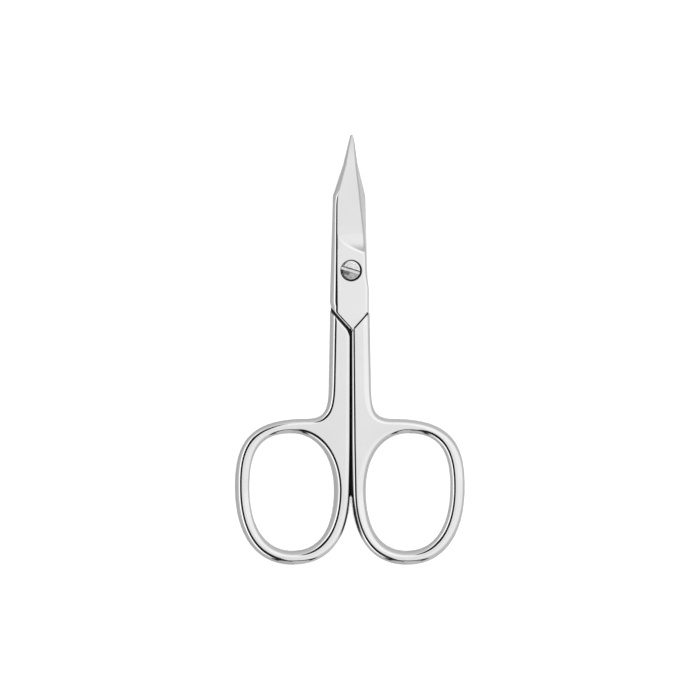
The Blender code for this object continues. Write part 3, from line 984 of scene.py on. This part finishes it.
def foot_side(y, side):
    """Slanted foot of a shield, beside the other half's shoulder."""
    low = SHOULDER_REACH - SHOULDER_CLEARANCE / math.cos(SHOULDER_ANGLE)
    return SHOULDER_HALF + (y + low) / math.tan(SHOULDER_ANGLE) + side * PIVOT.x


def spine_side(y, side):
    """Place of a blade's back, to the left on the front half and to the right on the rear half."""
    back = between([*SHIELD_BACK, *TOWER_BACK], y) * tip_share(y) - side * blade_middle(y)
    return -side * rounded_corner(back, foot_side(y, side))


def edge_side(y, side):
    """Place of a blade's cutting edge, across from its back; its foot dips into the shank."""
    edge = between(EDGE_OUTLINE, y) * tip_share(y) + side * blade_middle(y)
    edge += HEEL_SPREAD[side] * ease(-y / HEEL_SPREAD_REACH)
    dip = SHOULDER_OVERLAP / math.sin(SHOULDER_ANGLE)
    foot = SHOULDER_HALF + dip - side * PIVOT.x
    foot += (y - shoulder_height(SHOULDER_HALF, side)) / math.tan(SHOULDER_ANGLE)
    return side * min(edge, foot)


def bevel_width(y, side):
    """Width of the bevel along a blade's back; its crease turns parallel to the shield's foot."""
    back = between(SHIELD_BACK, y) - side * blade_middle(y)
    foot = foot_side(y, side)
    crease = min(back - between(BEVEL_WIDTHS, y), foot - FOOT_BEVEL / math.sin(SHOULDER_ANGLE))
    widest = WIDEST_BEVEL_SHARE * abs(edge_side(y, side) - spine_side(y, side))
    return min(rounded_corner(back, foot) - crease, widest)


def foot_corners(side):
    """Heights where a shield's outline, and then its crease, turn along its foot."""
    back = HEEL_HALF - side * BLADE_OFFSET
    low = foot_side(0, side)
    slope = math.tan(SHOULDER_ANGLE)
    inner = back - HEEL_BEVEL + FOOT_BEVEL / math.sin(SHOULDER_ANGLE)
    return (back - low) * slope, (inner - low) * slope


def runout(share):
    """Where the ground face ends on the shield, from the crease (0) to the edge (1)."""
    return RUNOUT_SPINE + (RUNOUT_EDGE - RUNOUT_SPINE) * share**RUNOUT_BEND


def blade_thickness(y, share):
    """Thickness over the ground face, from the crease (share 0) to the cutting edge (share 1)."""
    spine = between([(RUNOUT_SPINE, PLATE), (BLADE_REACH, TIP_THICKNESS)], y)
    ground = spine + (EDGE_THICKNESS - spine) * share
    depth = max(PLATE - ground, MERGE)
    crest = min(CREST_DROP, DEEPEST_CREST_SHARE * depth)
    past = y - runout(share)
    rolled = min(max(1 + past / CREST_WIDTH, 0), 1)
    length = math.sqrt(2 * WHEEL_RADIUS * (depth - crest))
    worn = min(max(past / length, 0), 1)
    return PLATE - crest * rolled**2 - (depth - crest) * (1 - (1 - worn) ** 2)


def warped(y, share):
    """Rows of the blade lean with the run-out near it, so one row follows its crisp edge."""
    centre = runout(0.5)
    near = ease(1 - abs(y - centre) / WARP_REACH)
    return y + (runout(share) - centre) * near


def edge_profile(y, thickness):
    """Points (inward distance, depth) over the cutting edge, from the face to the seat."""
    ground = ease((y - RUNOUT_EDGE) / GRIND_RUN_IN)
    narrow = min(1, (BLADE_REACH + TIP_BEVEL_OVERRUN - y) / TIP_BEVEL_REACH)
    points = []
    for step in range(EDGE_STEPS + 1):
        share = step / EDGE_STEPS
        turn = share * math.pi / 2
        round_in = SHIELD_ROUNDING * (1 - math.sin(turn))
        round_depth = thickness - SHIELD_ROUNDING * (1 - math.cos(turn))
        bevel_in = CUTTING_BEVEL * narrow * (1 - share)
        bevel_depth = thickness + (CUTTING_THICKNESS - thickness) * share
        points.append((round_in + (bevel_in - round_in) * ground,
                       round_depth + (bevel_depth - round_depth) * ground))
    return points


def chamfer_share(y):
    """How much the corner between a shield's seat and its back is broken; none up the blade."""
    return max(1 - ease((y - SEAT_CHAMFER_FADE) / SEAT_CHAMFER_FADE_REACH), LEAST_SHARE)


def blade_section(station, side):
    """Closed section of the shield or blade: points round it in the world."""
    seat = MIDDLE + side * BLADE_GAP / 2
    points = []

    def add(y, x, depth):
        points.append(Vector((x, y, seat + rise(x, y) + side * depth)) + PIVOT)

    crease_y = warped(station, 0)
    back = spine_side(crease_y, side)
    bevel = bevel_width(crease_y, side)
    crease = blade_thickness(crease_y, 0)
    high, low = foot_corners(side)
    steep = between([(low, FOOT_DROP), (high, BEVEL_DROP)], crease_y)
    drop = min(bevel * steep, DEEPEST_BEVEL_SHARE * crease)
    flat = ease((crease_y - CHAMFER_START) / (CHAMFER_STOP - CHAMFER_START))
    for step in range(BEVEL_STEPS + 1):
        share = step / BEVEL_STEPS
        turn = math.pi / 2 * share
        inward = (1 - math.cos(turn)) * (1 - flat) + share * flat
        risen = math.sin(turn) * (1 - flat) + share * flat
        add(crease_y, back + side * bevel * inward, crease - drop + drop * risen)

    face_shares = [step / FACE_STEPS for step in range(1, FACE_STEPS)]
    for share in [FACE_RIM_SHARE, *face_shares, 1 - FACE_RIM_SHARE]:
        y = warped(station, share)
        start = spine_side(y, side) + side * bevel_width(y, side)
        stop = edge_side(y, side) - side * edge_profile(y, 0)[0][0]
        add(y, start + (stop - start) * share, blade_thickness(y, share))

    y = warped(station, 1)
    for inward, depth in edge_profile(y, blade_thickness(y, 1)):
        add(y, edge_side(y, side) - side * inward, depth)
    for step in range(SEAT_STEPS + 1):
        share = 1 - step / SEAT_STEPS
        y = warped(station, share)
        chamfered = spine_side(y, side) + side * chamfer_share(y) * SEAT_CHAMFER
        add(y, chamfered + (edge_side(y, side) - chamfered) * share, 0)
    add(crease_y, back, chamfer_share(crease_y) * SEAT_CHAMFER_DEPTH)
    return points


def blade_stations(side):
    """Rows of the blade from the shield's foot to the tip, closest where the shape turns."""
    places = []
    run = runout(0.5)
    crest = run - CREST_WIDTH
    marks = [-BLADE_FOOT, -HEEL_REACH, 0.0, crest, run - RUNOUT_SHARPNESS, run, run + RUNOUT_SHARPNESS,
             TOWER_REACH, KNEE_REACH, BLADE_REACH - TIP_ROUND, *foot_corners(side)]
    marks.sort()
    for start, stop in zip(marks, marks[1:]):
        step = CREST_WIDTH / CREST_STEPS if crest <= start < run else STATION_STEP
        count = max(1, round((stop - start) / step))
        places += [start + (stop - start) * step / count for step in range(count)]
    for step in range(TIP_STEPS + 1):
        turn = math.pi / 2 * step / TIP_STEPS
        places.append(BLADE_REACH - TIP_ROUND * (1 - math.sin(turn)))
    return places


def blade(side):
    rings = [blade_section(station, side) for station in blade_stations(side)]
    return loft("blade_" + SIDE_NAME[side], rings)


# Halves


def bar(name, side, sections):
    """Solid through sections of (run, y, z) points, run from the middle line on a half's own side."""
    rings = [[Vector((side * run, y + PIVOT.y, z)) for run, y, z in section] for section in sections]
    return loft(name + "_" + SIDE_NAME[side], rings)


def parting_ledge(side):
    """Low ledge along a half's parting wall; the two lap over each other in the gap."""
    wall = parting_line(side)
    low, high = LEDGE[side]
    deep = LEDGE_TOP_ROOT[side]
    top = shoulder_height(wall, side)
    stop = -LEDGE_FOOT_REACH
    tip = wall - LEDGE_REACH
    sections = []
    for y, root, reach in (
            (top + LEDGE_LEAD[side], deep, tip),
            (top - LEDGE_ROOT_TURN, deep, tip),
            (top - 2 * LEDGE_ROOT_TURN, LEDGE_ROOT, tip),
            (stop, LEDGE_ROOT, tip),
            (stop - LEDGE_RUN_OUT, LEDGE_ROOT, wall - FLAT_RIM)):
        back = wall + root
        corners = [(back, high), (wall, high), (reach, high - LEDGE_CHAMFER), (reach, low), (back, low)]
        sections.append([(run, y, z) for run, z in corners])
    return bar("ledge", side, sections)


def relief_cutter(side):
    """Groove in the seat along a half's shoulder, where the other half's foot turns past."""
    seat = MIDDLE + side * BLADE_GAP / 2
    above = seat - side * OVERRUN / 4
    deep = seat + side * RELIEF_DEPTH
    wide = RELIEF_WIDTH / math.cos(SHOULDER_ANGLE)
    sections = []
    for run in (parting_line(side) - RELIEF_WIDTH, 2 * SHANK_TOP_HALF):
        low = shoulder_height(run, side) - RELIEF_DROP
        corners = [(low, above), (low, deep), (low + wide, deep), (low + wide, above)]
        sections.append([(run, y, z) for y, z in corners])
    return bar("relief", side, sections)


def shoulder_groove(side):
    """Fine groove where a half's shield runs into its own shoulder."""
    face = MIDDLE + side * (MIDDLE - FACE_STEP)
    wide = GROOVE_WIDTH / math.cos(SHOULDER_ANGLE)
    floor = GROOVE_FLOOR_SHARE * wide
    start = parting_line(side) + CORNER_TURN[side] * math.cos(SHOULDER_ANGLE) + GROOVE_LEAD
    sections = []
    for run in (start, 2 * SHANK_TOP_HALF):
        low = shoulder_height(run, side) - GROOVE_DROP
        high = low + wide
        corners = [(low, OVERRUN), (low, 0), (low + floor, -GROOVE_DEPTH)]
        corners += [(high - floor, -GROOVE_DEPTH), (high, 0), (high, OVERRUN)]
        sections.append([(run, y, face + side * z) for y, z in corners])
    return bar("groove", side, sections)


def bores(side):
    """Counterbore and neck hole of the front half, or tapped hole of the rear half."""
    if side == REAR:
        profile = [(THREAD_HOLE_RADIUS, THICKNESS), (THREAD_HOLE_RADIUS, FACE_STEP + HOLE_CHAMFER)]
        profile += [(THREAD_HOLE_RADIUS + 2 * HOLE_CHAMFER, FACE_STEP - HOLE_CHAMFER)]
        return [turned("thread_hole", profile)]
    rim = COUNTERBORE_RIM
    profile = [(COUNTERBORE_RADIUS + 3 * rim, FRONT_FACE + 2 * rim)]
    profile += [(COUNTERBORE_RADIUS + rim, FRONT_FACE), (COUNTERBORE_RADIUS, FRONT_FACE - rim)]
    profile += [(COUNTERBORE_RADIUS, FRONT_FACE - COUNTERBORE_DEPTH)]
    neck_hole = turned("neck_hole", [(NECK_HOLE_RADIUS, FRONT_FACE), (NECK_HOLE_RADIUS, 0)])
    return [turned("counterbore", profile, PIVOT + COUNTERBORE_SHIFT), neck_hole]


def make_half(side, tree, finishes):
    """One half: shank and bow, shoulder, shield and blade in one forged piece."""
    name = SIDE_NAME[side]
    steel = finishes[POLISHED]
    mirrored = side == REAR
    loops = [placed(handle_outline(side), side, not mirrored), placed(hole_outline(), side, mirrored)]
    handle = rounded_plate("handle_" + name, loops, tree, steel)
    below = placed(trimmer_outline(side), side, not mirrored)
    steps = [("INTERSECT", rounded_plate("trimmer_" + name, [below], tree, steel))]
    steps += [("UNION", blade(side)), ("UNION", parting_ledge(side))]
    for cutter in (relief_cutter(side), shoulder_groove(side), *bores(side)):
        steps.append(("DIFFERENCE", cutter))
    mesh = combined(name + "_half_steel", handle, steps)
    paint_half(mesh, side, finishes)
    return finished(mesh)


def on_ground(centre, side):
    """Whether a face lies past the run-out, where the blade is ground."""
    back = spine_side(centre.y, side)
    edge = edge_side(centre.y, side)
    bevel = bevel_width(centre.y, side)
    share = (side * (centre.x - back) - bevel) / max(abs(edge - back) - bevel, FINE)
    return 0 < share < GROUND_OVER_EDGE and centre.y > runout(min(share, 1))


def paint_half(mesh, side, finishes):
    """Give each face its finish by where it lies and which way it looks."""
    mesh.materials.clear()
    for finish in finishes:
        mesh.materials.append(finish)
    gap = BLADE_GAP / 2 + FINE / 10
    for face in mesh.polygons:
        centre = face.center - PIVOT
        x, y, z = centre
        facing = side * face.normal.z
        run = side * (x + PIVOT.x)
        above_shoulder = y - shoulder_height(run, side)
        into_half = side * (z - MIDDLE)
        under_face = MIDDLE - FACE_STEP - into_half
        beside = PARTING_TOP_WALL if y > -PARTING_TOP_REACH else PARTING_WALL
        near_parting = y < -SHOULDER_REACH and abs(run - side * PARTING_OFFSET) < beside
        on_seat = abs(z - rise(x, y) - MIDDLE) < gap + FINE and facing < -LEVEL_FACING
        on_wall = abs(facing) < STEEP_FACING or LEDGE_LOW < z < LEDGE_HIGH and not on_seat
        in_relief = gap < into_half < RELIEF_DEPTH + 2 * gap and facing < STEEP_FACING
        in_groove = FINE < under_face < GROOVE_DEPTH + FINE
        in_bore = math.hypot(x, y) < COUNTERBORE_RADIUS + 2 * FINE and z < FRONT_FACE - 10 * FINE
        # Recessed faces and the parting walls take the dull finish, whose near-black grey is painted
        # shade.
        if (near_parting and on_wall or in_bore
                or in_groove and 0 < above_shoulder < GROOVE_REACH
                or in_relief and -RELIEF_BELOW < above_shoulder < RELIEF_ABOVE
                or on_seat and above_shoulder < 5 * FINE):
            face.material_index = DULL_SHADED
        elif on_seat:
            face.material_index = SLIDING
        elif y > RUNOUT_EDGE and facing > FACE_FACING and on_ground(centre, side):
            face.material_index = GROUND
        else:
            face.material_index = POLISHED


def keep_flats_flat(mesh):
    """Normals of the level faces stay upright at their rims, so reflections run straight."""
    normals = [corner.vector.copy() for corner in mesh.corner_normals]
    straight = {}
    for face in mesh.polygons:
        if abs(face.normal.z) > LEVEL:
            for vertex in face.vertices:
                straight[vertex] = Vector((0, 0, math.copysign(1, face.normal.z)))
    for face in mesh.polygons:
        for corner, vertex in zip(face.loop_indices, face.vertices):
            normal = straight.get(vertex)
            if normal and face.normal.dot(normal) > math.cos(SMOOTH_ANGLE):
                normals[corner] = normal
    mesh.normals_split_custom_set(normals)


def finished(mesh):
    mesh.shade_smooth()
    mesh.set_sharp_from_angle(angle=SMOOTH_ANGLE)
    keep_flats_flat(mesh)
    return piece_from(mesh.name, mesh)


# Screw


def thread_tree():
    """Screw thread: a ridge swept up a helix round the core."""
    tree, given = geometry_tree("screw_thread", {
        "Core Radius": "Float", "Ridge": "Float", "Pitch": "Float",
        "Length": "Float", "Steps Per Turn": "Int", "Finish": "Material"})
    helix = worked(tree, "GeometryNodeCurveSpiral", {
        "Resolution": given["Steps Per Turn"], "Rotations": given["Length"] / given["Pitch"],
        "Start Radius": given["Core Radius"], "End Radius": given["Core Radius"],
        "Height": given["Length"]})
    ridge = worked(tree, "GeometryNodeCurvePrimitiveCircle", {
        "Resolution": 4, "Radius": given["Ridge"]}, mode="RADIUS")
    swept = worked(tree, "GeometryNodeCurveToMesh", {
        "Curve": helix, "Profile Curve": ridge, "Fill Caps": True})
    return finish_tree(swept, given["Finish"])


def thread(material):
    low = FACE_STEP + THREAD_PITCH
    carrier = piece_from("thread_carrier", bpy.data.meshes.new("thread_carrier"))
    ridge = grown("thread", carrier, thread_tree(), {
        "Core Radius": THREAD_CORE, "Ridge": THREAD_RADIUS - THREAD_CORE, "Pitch": THREAD_PITCH,
        "Length": MIDDLE - BLADE_GAP - low, "Steps Per Turn": THREAD_STEPS, "Finish": material})
    ridge.data.transform(Matrix.Translation(PIVOT + Vector((0, 0, low))))
    return ridge


def slot_cutter():
    """Slot with broken edges: a bar whose section flares at the head's face."""
    edge = SLOT_EDGE
    half = SLOT_WIDTH / 2
    right = [(half - edge, -SLOT_DEPTH), (half, -SLOT_DEPTH + edge), (half, -edge)]
    right += [(half + 2 * edge, edge), (half + 2 * edge, OVERRUN)]
    section = right + [(-place, height) for place, height in reversed(right)]
    along = Vector((math.cos(SLOT_ANGLE), math.sin(SLOT_ANGLE), 0))
    across = Vector((-along.y, along.x, 0))
    rings = []
    for reach in (-1, 1):
        centre = PIVOT + along * reach * 2 * HEAD_RADIUS + Vector((0, 0, HEAD_TOP))
        rings.append([centre + across * place + Vector((0, 0, height)) for place, height in section])
    return loft("slot", rings)


def screw_profile():
    """Half section of the screw, (radius, height) from the middle of its head to its end."""
    seat = HEAD_TOP - HEAD_HEIGHT
    neck_end = MIDDLE - BLADE_GAP / 2
    end = FACE_STEP + THREAD_END_RECESS
    profile = []
    for step in range(DOME_STEPS + 1):
        share = (step + DOME_HOLE) / (DOME_STEPS + DOME_HOLE)
        radius = (HEAD_RADIUS - HEAD_CHAMFER) * share
        profile.append((radius, HEAD_TOP - HEAD_DOME * (radius / HEAD_RADIUS) ** 2))
    for step in range(1, CHAMFER_STEPS + 1):
        turn = math.pi / 2 * step / CHAMFER_STEPS
        radius = HEAD_RADIUS - HEAD_CHAMFER * (1 - math.sin(turn))
        profile.append((radius, HEAD_TOP - HEAD_DOME - HEAD_CHAMFER * (1 - math.cos(turn))))
    profile += [(HEAD_RADIUS, seat), (NECK_RADIUS, seat), (NECK_RADIUS, neck_end + 2 * FINE)]
    profile += [(THREAD_CORE, neck_end), (THREAD_CORE, end + THREAD_PITCH)]
    profile += [(THREAD_RADIUS, end + THREAD_START * THREAD_PITCH), (THREAD_RADIUS, end + END_CHAMFER)]
    return profile + [(THREAD_RADIUS - END_CHAMFER, end)]


def make_screw(material):
    """Slotted screw: a slightly domed head, a plain neck and a threaded end."""
    screw = turned("screw_body", screw_profile())
    for vertex in screw.data.vertices:
        under_head = vertex.co.z < HEAD_TOP - HEAD_HEIGHT + FINE / 10
        if not under_head or (vertex.co - PIVOT).xy.length > 1.5 * NECK_RADIUS:
            vertex.co += HEAD_SHIFT
    mesh = combined("pivot_screw_steel", screw, [("DIFFERENCE", slot_cutter())])
    ridge = thread(material)
    bm = bmesh.new()
    bm.from_mesh(mesh)
    bm.from_mesh(ridge.data)
    bm.to_mesh(mesh)
    bm.free()
    bpy.data.objects.remove(ridge, do_unlink=True)
    mesh.materials.clear()
    mesh.materials.append(material)
    return finished(mesh)


def main():
    bpy.context.scene.view_settings.view_transform = "Standard"
    make_camera()
    make_studio()
    make_floor()
    make_lamp()

    finishes = [polished_steel(), ground_steel(), sliding_steel(), dull_steel()]
    tree = rounded_plate_tree()
    front = make_half(FRONT, tree, finishes)
    rear = make_half(REAR, tree, finishes)
    screw = make_screw(screw_steel())
    for piece, body, part, slot in (
            (front, "front", "front_half", "polished_steel"),
            (rear, "rear", "rear_half", "polished_steel"),
            (screw, "rear", "pivot_screw", "screw_steel")):
        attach(piece, body)
        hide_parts(part)
    for used in ("rounded_plate", "screw_thread"):
        bpy.data.node_groups.remove(bpy.data.node_groups[used])


main()
